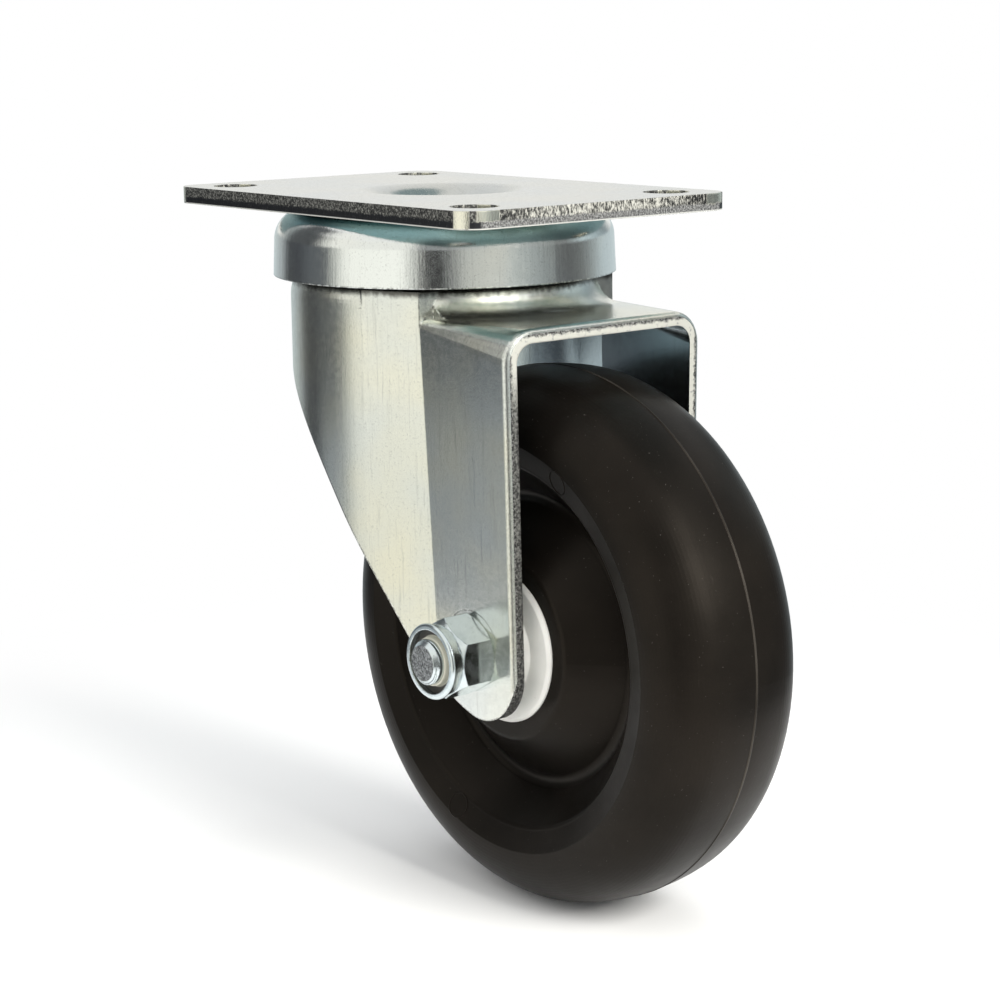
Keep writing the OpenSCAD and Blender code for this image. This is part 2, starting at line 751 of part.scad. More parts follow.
module far_bush() {
    color(white_nylon) on_axle() mirror([0, 0, 1]) bush();
}

top_plate();
bearing_cup();
kingpin();
lower_race();
upper_balls();
lower_balls();
fork();
axle_sleeve();
axle_bolt();
axle_nut();
nut_insert();
wheel();
near_bush();
far_bush();
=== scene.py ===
import json
import math

import bpy
from mathutils import Matrix, Vector


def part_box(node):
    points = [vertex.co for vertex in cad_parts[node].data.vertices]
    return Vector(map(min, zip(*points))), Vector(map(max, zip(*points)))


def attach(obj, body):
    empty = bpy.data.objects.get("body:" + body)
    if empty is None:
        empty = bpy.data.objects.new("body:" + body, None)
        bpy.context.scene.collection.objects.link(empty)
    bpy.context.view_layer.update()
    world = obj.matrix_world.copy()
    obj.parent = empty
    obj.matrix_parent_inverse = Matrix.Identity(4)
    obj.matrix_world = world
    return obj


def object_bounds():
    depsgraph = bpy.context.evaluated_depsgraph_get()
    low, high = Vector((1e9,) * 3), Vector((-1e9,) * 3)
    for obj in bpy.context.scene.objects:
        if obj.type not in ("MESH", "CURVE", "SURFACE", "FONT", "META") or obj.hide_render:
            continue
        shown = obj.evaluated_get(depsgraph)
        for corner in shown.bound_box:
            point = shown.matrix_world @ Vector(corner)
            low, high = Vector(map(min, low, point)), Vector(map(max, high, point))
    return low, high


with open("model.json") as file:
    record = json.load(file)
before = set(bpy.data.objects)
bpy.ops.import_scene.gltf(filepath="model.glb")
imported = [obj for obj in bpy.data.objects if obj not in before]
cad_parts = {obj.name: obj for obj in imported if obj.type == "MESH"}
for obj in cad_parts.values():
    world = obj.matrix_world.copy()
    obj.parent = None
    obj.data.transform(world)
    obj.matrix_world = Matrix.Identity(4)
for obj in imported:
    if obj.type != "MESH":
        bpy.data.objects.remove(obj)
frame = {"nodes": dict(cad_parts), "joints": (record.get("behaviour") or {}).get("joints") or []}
cad_low, cad_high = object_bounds()
nodes = frame["nodes"]

MM = 0.001

# Main places of the part, in metres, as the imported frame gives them
AXLE = Vector(next(j["pos_m"] for j in frame["joints"] if j["name"] == "wheel_spin"))
FORK_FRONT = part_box("fork")[1][0]
NUT_LOW, NUT_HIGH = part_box("axle_nut")
BOLT_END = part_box("axle_bolt")[0][1]
WHEEL_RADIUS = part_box("wheel")[1][0] - AXLE.x
SHELF_Z = -20.9 * MM
PLATE_UNDERSIDE = -3.2 * MM
PLATE_HALF_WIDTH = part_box("top_plate")[1][1]
# Length of plate edge from each side, at a corner, that is smoother and carries a painted highlight
CORNER_HIGHLIGHT = 6.8 * MM
CORNER_HIGHLIGHT_SOFT = 0.2 * MM
CUP_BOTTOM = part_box("bearing_cup")[0][2]
FLOOR_Z = cad_low[2]
# Outer face of the legs at the shelf, and how fast the legs lean in below it
LEG_OUTER = 23.1 * MM
LEG_LEAN = (LEG_OUTER + NUT_HIGH[1]) / (SHELF_Z - AXLE.z)

# Raised rings that the mould's ejector pins leave on the wheel's webs: angle from +X and side
EJECTOR_MARKS = ((63.8, -1), (248.3, -1), (63.8, 1), (248.3, 1))
EJECTOR_REACH = 36.2 * MM
EJECTOR_RADIUS = 2.2 * MM
EJECTOR_RIDGE = 0.12 * MM
EJECTOR_STEPS = 64
EJECTOR_SIDES = 8
CLEAR_OF_WHEEL = 50 * MM

# Last turn of the bolt's thread, which shows outside the nut
BOLT_RADIUS = 4.0 * MM
BOLT_CHAMFER = 0.8 * MM
THREAD_START = 1.6 * MM
THREAD_PITCH = 1.25 * MM
THREAD_HEIGHT = 0.20 * MM
THREAD_HALF = 0.30 * MM
THREAD_SINK = 0.10 * MM
THREAD_STOP = 0.35 * MM
THREAD_STEPS = 96
# Share of the thread over which each of its ends fades out
THREAD_FADE = 1 / 6

# Camera, fitted to the photograph
CAMERA_TARGET = Vector((0.0, 0.0, -0.040))
CAMERA_AZIMUTH = math.radians(50.994)
CAMERA_ELEVATION = math.radians(11.465)
CAMERA_ROLL = math.radians(-0.702)
CAMERA_DISTANCE = 0.464743
CAMERA_PAN = (0.009935, -0.019956)
CAMERA_LENS = 86.742
SENSOR_WIDTH = 36.0

# Colours, linear
CUP_WARM = (0.85, 0.84, 0.77)
CUP_COOL = (0.78, 0.81, 0.80)
FORK_WARM = (0.79, 0.78, 0.67)
FORK_COOL = (0.71, 0.74, 0.72)
# Darker, bluer zinc of the fork's inner faces: painted shade
INSIDE_SHADED_WARM = (0.60, 0.67, 0.69)
INSIDE_SHADED_COOL = (0.48, 0.56, 0.59)
# Darker, bluer zinc of the plate's underside: painted shade
UNDER_SHADED_WARM = (0.26, 0.38, 0.39)
UNDER_SHADED_COOL = (0.18, 0.31, 0.33)
PLATE_WARM = (0.61, 0.61, 0.565)
PLATE_COOL = (0.57, 0.59, 0.58)
DARK_SPECK = (0.20, 0.20, 0.19)
# Dark broken line along edges: wear on outer edges, painted shade in creases
DARK_WEAR_AND_CREASE_SHADE = (0.07, 0.07, 0.065)
# Dark colour of painted shade: under the cup's rim and in the groove round the bolt
PAINTED_SHADE = (0.045, 0.042, 0.036)
BRIGHT_ZINC = (0.70, 0.77, 0.79)
TORN_STEEL = (0.03, 0.03, 0.03)
CUT_STEEL = (0.72, 0.71, 0.64)
BALL_STEEL = (0.62, 0.63, 0.65)
GREASED_STEEL = (0.40, 0.40, 0.38)
BLACK_POLYMER = (0.0050, 0.0042, 0.0035)
BROWN_POLYMER = (0.0098, 0.0080, 0.0064)
PARTING_POLYMER = (0.060, 0.054, 0.046)
POLYMER_SHINE = (1.0, 0.87, 0.74)
WHITE_NYLON = (0.78, 0.77, 0.73)
PALE_NYLON = (0.74, 0.72, 0.60)


def rgba(colour):
    """Colour with full opacity."""
    return (*colour, 1.0)


class Graph:
    """Shader tree of one material, with short calls for the nodes that the materials share."""

    def __init__(self, name):
        self.material = bpy.data.materials.new(name)
        self.material.use_nodes = True
        self.tree = self.material.node_tree
        self.shader = self.tree.nodes["Principled BSDF"]
        self.coordinates = self.add("ShaderNodeTexCoord").outputs
        self.place = self.coordinates["Object"]

    def add(self, kind, **settings):
        """New node of a kind, with its settings."""
        node = self.tree.nodes.new(kind)
        for key, value in settings.items():
            setattr(node, key, value)
        return node

    def feed(self, socket, value):
        """Links a value that comes from another node, and sets one that is constant."""
        if isinstance(value, bpy.types.NodeSocket):
            self.tree.links.new(value, socket)
        else:
            socket.default_value = value

    def set(self, **values):
        """Feeds the shader's inputs, named with _ for each space."""
        for key, value in values.items():
            self.feed(self.shader.inputs[key.replace("_", " ")], value)

    def math(self, operation, *values):
        """Result of one sum on numbers or on what other nodes give."""
        node = self.add("ShaderNodeMath", operation=operation)
        for socket, value in zip(node.inputs, values):
            self.feed(socket, value)
        return node.outputs["Value"]

    def noise(self, scale, detail=2.0, stretch=None, roughness=0.5):
        """Noise of about the given number of cells a metre, drawn out along an axis by stretch."""
        node = self.add("ShaderNodeTexNoise")
        node.inputs["Scale"].default_value = scale
        node.inputs["Detail"].default_value = detail
        node.inputs["Roughness"].default_value = roughness
        place = self.place
        if stretch:
            mapping = self.add("ShaderNodeMapping")
            mapping.inputs["Scale"].default_value = stretch
            self.feed(mapping.inputs["Vector"], place)
            place = mapping.outputs["Vector"]
        self.feed(node.inputs["Vector"], place)
        return node.outputs["Fac"]

    def rise(self, value, low, high, start=0.0, end=1.0):
        """Smooth step from start to end as the value goes from low to high."""
        node = self.add("ShaderNodeMapRange", interpolation_type="SMOOTHSTEP")
        self.feed(node.inputs["Value"], value)
        for name, number in (("From Min", low), ("From Max", high), ("To Min", start), ("To Max", end)):
            node.inputs[name].default_value = number
        return node.outputs["Result"]

    def mix(self, share, first, second):
        """Mix of two colours, or of a colour and what another node gives."""
        node = self.add("ShaderNodeMix", data_type="RGBA")
        self.feed(node.inputs["Factor"], share)
        colours = [s for s in node.inputs if s.type == "RGBA"]
        for socket, value in zip(colours, (first, second)):
            self.feed(socket, rgba(value) if isinstance(value, tuple) else value)
        return next(s for s in node.outputs if s.type == "RGBA")

    def axes(self):
        """X, Y and Z of the shaded point in the part's frame."""
        node = self.add("ShaderNodeSeparateXYZ")
        self.feed(node.inputs["Vector"], self.place)
        return node.outputs

    def facing(self):
        """X, Y and Z of the surface's normal in the part's frame."""
        node = self.add("ShaderNodeSeparateXYZ")
        self.feed(node.inputs["Vector"], self.coordinates["Normal"])
        return node.outputs

    def rounded(self, radius):
        """Normal with every edge rounded to the radius."""
        node = self.add("ShaderNodeBevel", samples=6)
        node.inputs["Radius"].default_value = radius
        return node.outputs["Normal"]

    def edges(self, rounded):
        """Share of an edge at the shaded point, from the normal with its edges rounded."""
        node = self.add("ShaderNodeVectorMath", operation="DOT_PRODUCT")
        self.feed(node.inputs[0], rounded)
        self.feed(node.inputs[1], self.add("ShaderNodeNewGeometry").outputs["Normal"])
        return self.rise(node.outputs["Value"], 0.994, 0.985)

    def from_axle(self):
        """Distance of the shaded point from the axle's middle line."""
        axes = self.axes()
        along = self.math("SUBTRACT", axes["X"], AXLE.x)
        up = self.math("SUBTRACT", axes["Z"], AXLE.z)
        squares = self.math("MULTIPLY_ADD", along, along, self.math("MULTIPLY", up, up))
        return self.math("SQRT", squares)

    def bump(self, height, depth, normal=None):
        """Normal raised by a height that goes from 0 to 1, over the given depth."""
        node = self.add("ShaderNodeBump")
        node.inputs["Strength"].default_value = 1.0
        node.inputs["Distance"].default_value = depth
        self.feed(node.inputs["Height"], height)
        if normal is not None:
            self.feed(node.inputs["Normal"], normal)
        return node.outputs["Normal"]


def zinc_sheet(name, warm, cool, rough, peel_depth, line_depth, line_stretch, streak, shade_top=None):
    """Zinc-plated sheet: clouds, specks, edge wear with painted shade in creases, orange peel, drawn
    lines, painted shade just under a height.
    """
    g = Graph(name)
    clouds = g.rise(g.noise(45, 2), 0.32, 0.68)
    colour = g.mix(clouds, cool, warm)
    specks = g.rise(g.noise(2500, 3, roughness=0.8), 0.54, 0.76, 0.0, 0.38)
    colour = g.mix(specks, colour, DARK_SPECK)
    streaks = g.rise(g.noise(1300, 4, line_stretch, 0.75), 0.52, 0.74, 0.0, streak)
    colour = g.mix(streaks, colour, DARK_SPECK)
    rounded = g.rounded(0.5 * MM)
    # Dark broken line on every edge: wear on outer edges, painted shade in creases
    wear_and_crease_shade = g.rise(g.noise(1500, 3, roughness=0.7), 0.42, 0.60, 0.0, 0.8)
    colour = g.mix(g.math("MULTIPLY", g.edges(rounded), wear_and_crease_shade), colour, DARK_WEAR_AND_CREASE_SHADE)
    # Painted shade: a ragged dark band just under the given height, below the cup's rim
    if shade_top is not None:
        ragged = g.math("MULTIPLY_ADD", g.noise(900, 3, (1.0, 1.0, 0.6)), 1.3 * MM, g.axes()["Z"])
        film = g.rise(ragged, shade_top - 1.5 * MM, shade_top - 0.2 * MM, 0.0, 0.9)
        colour = g.mix(film, colour, PAINTED_SHADE)
    roughness = g.rise(g.noise(900, 3, roughness=0.6), 0.3, 0.7, rough - 0.03, rough + 0.04)
    normal = g.bump(g.noise(150, 1), peel_depth * 0.6, rounded)
    normal = g.bump(g.noise(2500, 3, roughness=0.7), peel_depth, normal)
    normal = g.bump(g.noise(1900, 2, line_stretch), line_depth, normal)
    g.set(Base_Color=colour, Metallic=1.0, Roughness=roughness, Normal=normal)
    return g.material


def plate_edge(name):
    """Sheared edge of the plate: torn on the short sides, speckled over dark on the long ones, with
    painted highlights at the corners and along the lower edge.
    """
    g = Graph(name)
    axes = g.axes()
    facing = g.facing()
    ragged = g.noise(1300, 4, (1.0, 1.0, 0.5), 0.7)
    line = g.math("MULTIPLY_ADD", ragged, 1.1 * MM, axes["Z"])
    low_half = g.rise(line, -1.05 * MM, -1.45 * MM)
    fine = g.noise(3400, 4, (1.0, 1.0, 0.8), 0.8)
    upper = g.mix(g.rise(fine, 0.46, 0.66), (0.018, 0.018, 0.018), (0.36, 0.36, 0.33))
    lower = g.mix(g.rise(fine, 0.56, 0.78), (0.008, 0.009, 0.012), (0.13, 0.13, 0.13))
    long_side = g.mix(low_half, upper, lower)
    tears = g.noise(2500, 4, (1.0, 1.0, 0.45), 0.8)
    sideways = g.math("ABSOLUTE", axes["Y"])
    middle = g.rise(sideways, 27 * MM, 12 * MM, 0.09, 0.0)
    torn = g.rise(g.math("SUBTRACT", tears, middle), 0.40, 0.60)
    upper = g.mix(torn, (0.015, 0.015, 0.015), (0.62, 0.61, 0.55))
    lower = g.mix(g.rise(fine, 0.40, 0.66), (0.06, 0.06, 0.06), (0.42, 0.42, 0.41))
    short_side = g.mix(low_half, upper, lower)
    is_short = g.rise(g.math("ABSOLUTE", facing["X"]), 0.9, 0.98)
    colour = g.mix(is_short, long_side, short_side)
    # Painted highlight on the rounded corners and the ends of the short sides, picked by which way the
    # edge faces, where the finish is also smoother and more metallic
    turned = g.math("MULTIPLY_ADD", g.noise(700, 3), 0.10, g.math("ABSOLUTE", facing["X"]))
    first = g.math("MULTIPLY", g.rise(turned, 0.20, 0.26), g.rise(turned, 0.78, 0.72))
    block_start = PLATE_HALF_WIDTH - CORNER_HIGHLIGHT
    near_corner = g.rise(sideways, block_start - CORNER_HIGHLIGHT_SOFT, block_start + CORNER_HIGHLIGHT_SOFT)
    second = g.math("MULTIPLY", g.rise(turned, 0.88, 0.94), near_corner)
    second = g.math("MULTIPLY", second, g.math("SUBTRACT", 1.0, low_half))
    corner_highlight = g.math("MAXIMUM", first, second)
    colour = g.mix(corner_highlight, colour, FORK_WARM)
    # Painted highlight: a thin pale line along the lower edge, just above the underside
    lower_highlight = g.rise(axes["Z"], PLATE_UNDERSIDE + 0.30 * MM, PLATE_UNDERSIDE + 0.12 * MM)
    colour = g.mix(lower_highlight, colour, (0.70, 0.70, 0.66))
    roughness = g.rise(corner_highlight, 0.0, 1.0, 0.5, 0.22)
    metal = g.rise(corner_highlight, 0.0, 1.0, 0.45, 1.0)
    normal = g.bump(g.noise(2400, 3, (1.0, 1.0, 0.35), 0.7), 0.08 * MM, g.rounded(0.3 * MM))
    g.set(Base_Color=colour, Metallic=metal, Roughness=roughness, Normal=normal)
    return g.material


def fork_edge(name):
    """Sheared edge of the fork: smooth and pale inside, torn and dark along the outer side, with a
    painted dark reflection of the wheel low on the near leg.
    """
    g = Graph(name)
    axes = g.axes()
    outer = g.math("MULTIPLY_ADD", axes["Z"], LEG_LEAN, LEG_OUTER - LEG_LEAN * SHELF_Z)
    beside = g.math("SUBTRACT", g.math("ABSOLUTE", axes["Y"]), outer)
    above = g.math("SUBTRACT", axes["Z"], SHELF_Z)
    depth = g.math("MAXIMUM", beside, above)
    ragged = g.noise(1000, 4, roughness=0.75)
    line = g.math("MULTIPLY_ADD", ragged, 1.8 * MM, depth)
    torn = g.rise(line, -0.75 * MM, -0.25 * MM)
    grain = g.rise(g.noise(2400, 3, roughness=0.75), 0.44, 0.62)
    dark = g.mix(grain, TORN_STEEL, (0.36, 0.36, 0.34))
    pale = g.mix(g.rise(g.noise(1200, 3), 0.56, 0.72), CUT_STEEL, (0.40, 0.40, 0.38))
    # Painted reflection of the black wheel: the near leg's edge below the shelf is dark and speckled
    reflection_grain = g.rise(g.noise(1900, 3, roughness=0.7), 0.36, 0.68)
    wheel_reflection = g.mix(reflection_grain, (0.04, 0.04, 0.04), (0.30, 0.30, 0.28))
    near_leg = g.rise(axes["Y"], -14 * MM, -18 * MM)
    low_leg = g.math("MULTIPLY", near_leg, g.rise(axes["Z"], -27 * MM, -36 * MM))
    colour = g.mix(torn, g.mix(low_leg, pale, wheel_reflection), dark)
    normal = g.bump(g.noise(1500, 3, roughness=0.65), 0.06 * MM, g.rounded(0.4 * MM))
    g.set(Base_Color=colour, Metallic=0.6, Roughness=0.45, Normal=normal)
    return g.material


def bright_zinc(name, edge_radius):
    """Bright plated fastener with fine turning marks and a few stains."""
    g = Graph(name)
    stains = g.rise(g.noise(260, 3), 0.52, 0.78, 0.0, 0.5)
    colour = g.mix(stains, BRIGHT_ZINC, (0.48, 0.56, 0.60))
    specks = g.rise(g.noise(1900, 2, roughness=0.7), 0.66, 0.74, 0.0, 0.5)
    colour = g.mix(specks, colour, DARK_SPECK)
    roughness = g.rise(g.noise(420, 3), 0.3, 0.7, 0.12, 0.24)
    rounded = g.rounded(edge_radius)
    # Dark broken line on every edge: wear on outer edges, painted shade in creases
    wear_and_crease_shade = g.rise(g.noise(1300, 3, roughness=0.7), 0.50, 0.62, 0.0, 0.7)
    colour = g.mix(g.math("MULTIPLY", g.edges(rounded), wear_and_crease_shade), colour, DARK_WEAR_AND_CREASE_SHADE)
    normal = g.bump(g.noise(1100, 2, (1.0, 0.2, 1.0)), 0.012 * MM, rounded)
    g.set(Base_Color=colour, Metallic=1.0, Roughness=roughness, Normal=normal)
    return g.material


def sheared_bolt_end(name):
    """Rough, dull end face of the bolt."""
    g = Graph(name)
    grain = g.rise(g.noise(2600, 3, roughness=0.7), 0.36, 0.66)
    colour = g.mix(grain, (0.10, 0.105, 0.11), (0.44, 0.46, 0.47))
    normal = g.bump(g.noise(2200, 3, roughness=0.6), 0.10 * MM, g.rounded(0.3 * MM))
    g.set(Base_Color=colour, Metallic=1.0, Roughness=0.42, Normal=normal)
    return g.material


def bearing_steel(name, colour, rough):
    """Ground steel under a thin, uneven film of grease."""
    g = Graph(name)
    film = g.rise(g.noise(220, 3), 0.4, 0.7)
    dulled = tuple(0.6 * c for c in colour)
    roughness = g.rise(g.noise(300, 3), 0.3, 0.7, rough, rough + 0.12)
    normal = g.bump(g.noise(1200, 2), 0.006 * MM)
    g.set(Base_Color=g.mix(film, colour, dulled), Metallic=1.0, Roughness=roughness, Normal=normal)
    return g.material


def wheel_polymer(name, dark, brown):
    """Moulded black polymer: satin skin with flow clouds, sparse dust, scuffs and fine scratches."""
    g = Graph(name)
    clouds = g.rise(g.noise(38, 4), 0.35, 0.70)
    colour = g.mix(clouds, dark, brown)
    dust = g.rise(g.noise(2300, 1, roughness=0.8), 0.765, 0.785, 0.0, 0.4)
    colour = g.mix(dust, colour, (0.12, 0.11, 0.10))
    scuffs = g.rise(g.noise(420, 4, (1.0, 1.0, 0.12), 0.7), 0.66, 0.80, 0.0, 0.25)
    colour = g.mix(scuffs, colour, (0.045, 0.040, 0.034))
    roughness = g.rise(g.noise(90, 5, roughness=0.65), 0.3, 0.7, 0.30, 0.38)
    normal = g.bump(g.noise(70, 2), 0.10 * MM, g.rounded(0.25 * MM))
    normal = g.bump(g.noise(1500, 2), 0.010 * MM, normal)
    normal = g.bump(g.noise(800, 2, (0.08, 1.0, 1.0)), 0.006 * MM, normal)
    g.set(Base_Color=colour, Roughness=roughness, Normal=normal, Specular_IOR_Level=0.125)
    g.set(Specular_Tint=rgba(POLYMER_SHINE))
    return g.material


def nylon(name, colour, rough, groove=None):
    """Moulded nylon, faintly clouded and dusty, with painted shade beyond a distance from the axle."""
    g = Graph(name)
    shaded = tuple(0.9 * c for c in colour)
    tone = g.mix(g.rise(g.noise(120, 4), 0.40, 0.70), colour, shaded)
    dust = g.rise(g.noise(1400, 2, roughness=0.7), 0.70, 0.76, 0.0, 0.35)
    tone = g.mix(dust, tone, (0.42, 0.40, 0.36))
    if groove is not None:
        # Painted shade in the groove between the bolt and the nut's collar
        tone = g.mix(g.rise(g.from_axle(), groove, groove + 0.3 * MM), tone, PAINTED_SHADE)
    normal = g.bump(g.noise(500, 2), 0.012 * MM, g.rounded(0.4 * MM))
    roughness = g.rise(g.noise(200, 3), 0.3, 0.7, rough, rough + 0.1)
    g.set(Base_Color=tone, Roughness=roughness, Normal=normal, Subsurface_Weight=0.08)
    g.shader.inputs["Subsurface Radius"].default_value = (1.0, 0.9, 0.75)
    g.shader.inputs["Subsurface Scale"].default_value = 0.8 * MM
    return g.material


def paint(name, *choices):
    """Gives a node its materials. Each choice is a material, or a material and a test of a face."""
    mesh = nodes[name].data
    mesh.materials.clear()
    tests = []
    for choice in choices:
        material, test = choice if isinstance(choice, tuple) else (choice, None)
        mesh.materials.append(material)
        tests.append(test)
    for face in mesh.polygons:
        face.material_index = 0
        for index, test in enumerate(tests):
            if test and test(face.center, face.normal):
                face.material_index = index


def is_plate_edge(centre, normal):
    """Upright faces round the plate and in its holes."""
    return abs(normal.z) < 0.3


def is_underside(centre, normal):
    """Faces of the plate that look down."""
    return normal.z < -0.6


def is_fork_edge(centre, normal):
    """Faces that the press sheared: the open front, the legs' ends and the slanting rear edge."""
    if abs(normal.y) > 0.05:
        return False
    front = normal.x > 0.98 and centre.x > FORK_FRONT - 0.3 * MM
    leg_end = centre.z < AXLE.z + 10 * MM and normal.z < 0.5
    beside = abs(centre.y) > 12 * MM or centre.x < 0
    rear = normal.x < 0 and normal.z < -0.25 and centre.z < SHELF_Z and beside
    return front or leg_end or rear


def is_fork_inside(centre, normal):
    """Faces of the fork that look at the swivel axis or down at the wheel."""
    inward = centre.x * normal.x + centre.y * normal.y
    return normal.z < -0.6 or inward < -0.25 * math.hypot(centre.x, centre.y)


def is_bolt_end(centre, normal):
    """Flat end of the bolt that stands out of the nut."""
    return normal.y < -0.9 and centre.y < NUT_LOW[1]


def is_parting_line(centre, normal):
    """Thin raised line round the middle of the tread."""
    radius = math.hypot(centre.x - AXLE.x, centre.z - AXLE.z)
    return abs(centre.y) < 0.3 * MM and radius > WHEEL_RADIUS - 0.2 * MM


def ejector_mark(angle, side):
    """Loops of points round a thin ring that lies on the wheel's web."""
    a = math.radians(angle)
    middle = AXLE + Vector((math.cos(a), 0, math.sin(a))) * EJECTOR_REACH
    loops = []
    for i in range(EJECTOR_STEPS):
        t = math.tau * i / EJECTOR_STEPS
        out = Vector((math.cos(t), 0, math.sin(t)))
        start = middle + out * EJECTOR_RADIUS
        start.y = side * CLEAR_OF_WHEEL
        _, place, _, _ = nodes["wheel"].ray_cast(start, Vector((0, -side, 0)))
        ring = []
        for k in range(EJECTOR_SIDES):
            u = math.tau * k / EJECTOR_SIDES
            ring.append(place + (out * math.cos(u) + Vector((0, math.sin(u), 0))) * EJECTOR_RIDGE)
        loops.append(ring)
    return loops


def bolt_thread():
    """Loops of three points along the thread's ridge, from inside the nut to the bolt's end."""
    first = BOLT_END + THREAD_START
    last = BOLT_END + THREAD_STOP
    turns = (first - last) / THREAD_PITCH
    loops = []
    for i in range(THREAD_STEPS + 1):
        share = i / THREAD_STEPS
        a = math.tau * turns * share
        out = Vector((math.cos(a), 0, math.sin(a)))
        along = first + (last - first) * share
        crest = THREAD_HEIGHT * min(1.0, share / THREAD_FADE, (1 - share) / THREAD_FADE)
        profile = ((THREAD_HALF, -THREAD_SINK), (0.0, crest), (-THREAD_HALF, -THREAD_SINK))
        loop = []
        for offset, height in profile:
            y = along + offset
            base = BOLT_RADIUS - max(0.0, BOLT_END + BOLT_CHAMFER - y)
            loop.append(Vector((AXLE.x, y, AXLE.z)) + out * (base + height))
        loops.append(loop)
    return loops


def add_piece(name, loops, closed):
    """New object with a skin through a row of equal loops of points, joined end to end if closed."""
    count = len(loops[0])
    points = [p for loop in loops for p in loop]
    faces = []
    for i in range(len(loops) if closed else len(loops) - 1):
        j = (i + 1) % len(loops)
        for k in range(count):
            n = (k + 1) % count
            faces.append((i * count + k, i * count + n, j * count + n, j * count + k))
    if not closed:
        faces.append(tuple(reversed(range(count))))
        faces.append(tuple(range(len(points) - count, len(points))))
    mesh = bpy.data.meshes.new(name)
    mesh.from_pydata(points, [], faces)
    mesh.shade_smooth()
    mesh.update()
    piece = bpy.data.objects.new(name, mesh)
    bpy.context.scene.collection.objects.link(piece)
    return piece


def dress(piece, material, body):
    """Gives a new piece its material and the body that it rides on."""
    piece.data.materials.append(material)
    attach(piece, body)


def add_details(polymer, fastener):
    """Adds the ejector marks and the bolt's thread, which are too fine for the solids."""
    for number, (angle, side) in enumerate(EJECTOR_MARKS, 1):
        mark = add_piece(f"ejector_mark_{number}", ejector_mark(angle, side), True)
        dress(mark, polymer, "road_wheel")
    thread = add_piece("bolt_thread", bolt_thread(), False)
    dress(thread, fastener, "swivel_fork")


def paint_part():
    """Gives every node its materials and adds the fine details."""
    upright = (1.0, 1.0, 0.05)
    lengthways = (0.05, 1.0, 1.0)
    fastener = bright_zinc("fastener_zinc", 0.25 * MM)
    ball = bearing_steel("ball_steel", BALL_STEEL, 0.08)
    bush = nylon("bush_nylon", WHITE_NYLON, 0.36)
    flat = zinc_sheet(
        "plate_zinc", PLATE_WARM, PLATE_COOL, rough=0.24, peel_depth=0.004 * MM,
        line_depth=0.002 * MM, line_stretch=lengthways, streak=0.15,
    )
    # Darker, bluer copy of the plate's zinc on its underside: painted shade
    under = zinc_sheet(
        "plate_under_painted_shade", UNDER_SHADED_WARM, UNDER_SHADED_COOL, rough=0.30, peel_depth=0.006 * MM,
        line_depth=0.002 * MM, line_stretch=lengthways, streak=0.15,
    )
    drawn_cup = zinc_sheet(
        "cup_zinc", CUP_WARM, CUP_COOL, rough=0.13, peel_depth=0.015 * MM,
        line_depth=0.014 * MM, line_stretch=upright, streak=0.18,
    )
    drawn_fork = zinc_sheet(
        "fork_zinc", FORK_WARM, FORK_COOL, rough=0.22, peel_depth=0.018 * MM,
        line_depth=0.006 * MM, line_stretch=upright, streak=0.20, shade_top=CUP_BOTTOM,
    )
    # Darker, bluer copy of the fork's zinc on its inner faces: painted shade
    fork_inside = zinc_sheet(
        "fork_inside_painted_shade", INSIDE_SHADED_WARM, INSIDE_SHADED_COOL, rough=0.22, peel_depth=0.016 * MM,
        line_depth=0.006 * MM, line_stretch=upright, streak=0.30,
    )
    polymer = wheel_polymer("wheel_polymer", BLACK_POLYMER, BROWN_POLYMER)
    parting = wheel_polymer("parting_polymer", BROWN_POLYMER, PARTING_POLYMER)
    paint("top_plate", flat, (under, is_underside), (plate_edge("plate_edge"), is_plate_edge))
    paint("bearing_cup", drawn_cup)
    paint("fork", drawn_fork, (fork_inside, is_fork_inside), (fork_edge("fork_edge"), is_fork_edge))
    paint("kingpin", fastener)
    paint("lower_race", bearing_steel("race_steel", GREASED_STEEL, 0.35))
    paint("upper_balls", ball)
    paint("lower_balls", ball)
    paint("axle_sleeve", fastener)
    paint("axle_bolt", fastener, (sheared_bolt_end("bolt_end"), is_bolt_end))
    paint("axle_nut", fastener)
    paint("nut_insert", nylon("insert_nylon", PALE_NYLON, 0.45, 4.5 * MM))
    paint("wheel", polymer, (parting, is_parting_line))
    paint("near_bush", bush)
    paint("far_bush", bush)
    add_details(polymer, fastener)


def make_camera():
    """Camera that sees the part as the photograph does."""
    a, e = CAMERA_AZIMUTH, CAMERA_ELEVATION
    back = Vector((math.sin(a) * math.cos(e), -math.cos(a) * math.cos(e), math.sin(e)))
    right = Vector((math.cos(a), math.sin(a), 0.0))
    up = back.cross(right)
    place = CAMERA_TARGET + back * CAMERA_DISTANCE + right * CAMERA_PAN[0] + up * CAMERA_PAN[1]
    c, s = math.cos(CAMERA_ROLL), math.sin(CAMERA_ROLL)
    rolled_right = right * c + up * s
    rolled_up = up * c - right * s
    data = bpy.data.cameras.new("photo_camera")
    data.lens = CAMERA_LENS
    data.sensor_width = SENSOR_WIDTH
    data.clip_start = 0.01
    camera = bpy.data.objects.new("photo_camera", data)
    turn = Matrix((rolled_right, rolled_up, back)).transposed()
    camera.matrix_world = Matrix.Translation(place) @ turn.to_4x4()
    bpy.context.scene.collection.objects.link(camera)
    bpy.context.scene.camera = camera


# Cards round the object, as the metal mirrors them: azimuth from +X in degrees, and colour
CARD_RADIUS = 0.22
CARD_BOTTOM = FLOOR_Z + 0.5 * MM
CARD_MIDDLE = 0.0
CARD_HIGH = 0.10
CARD_TOP = 0.19
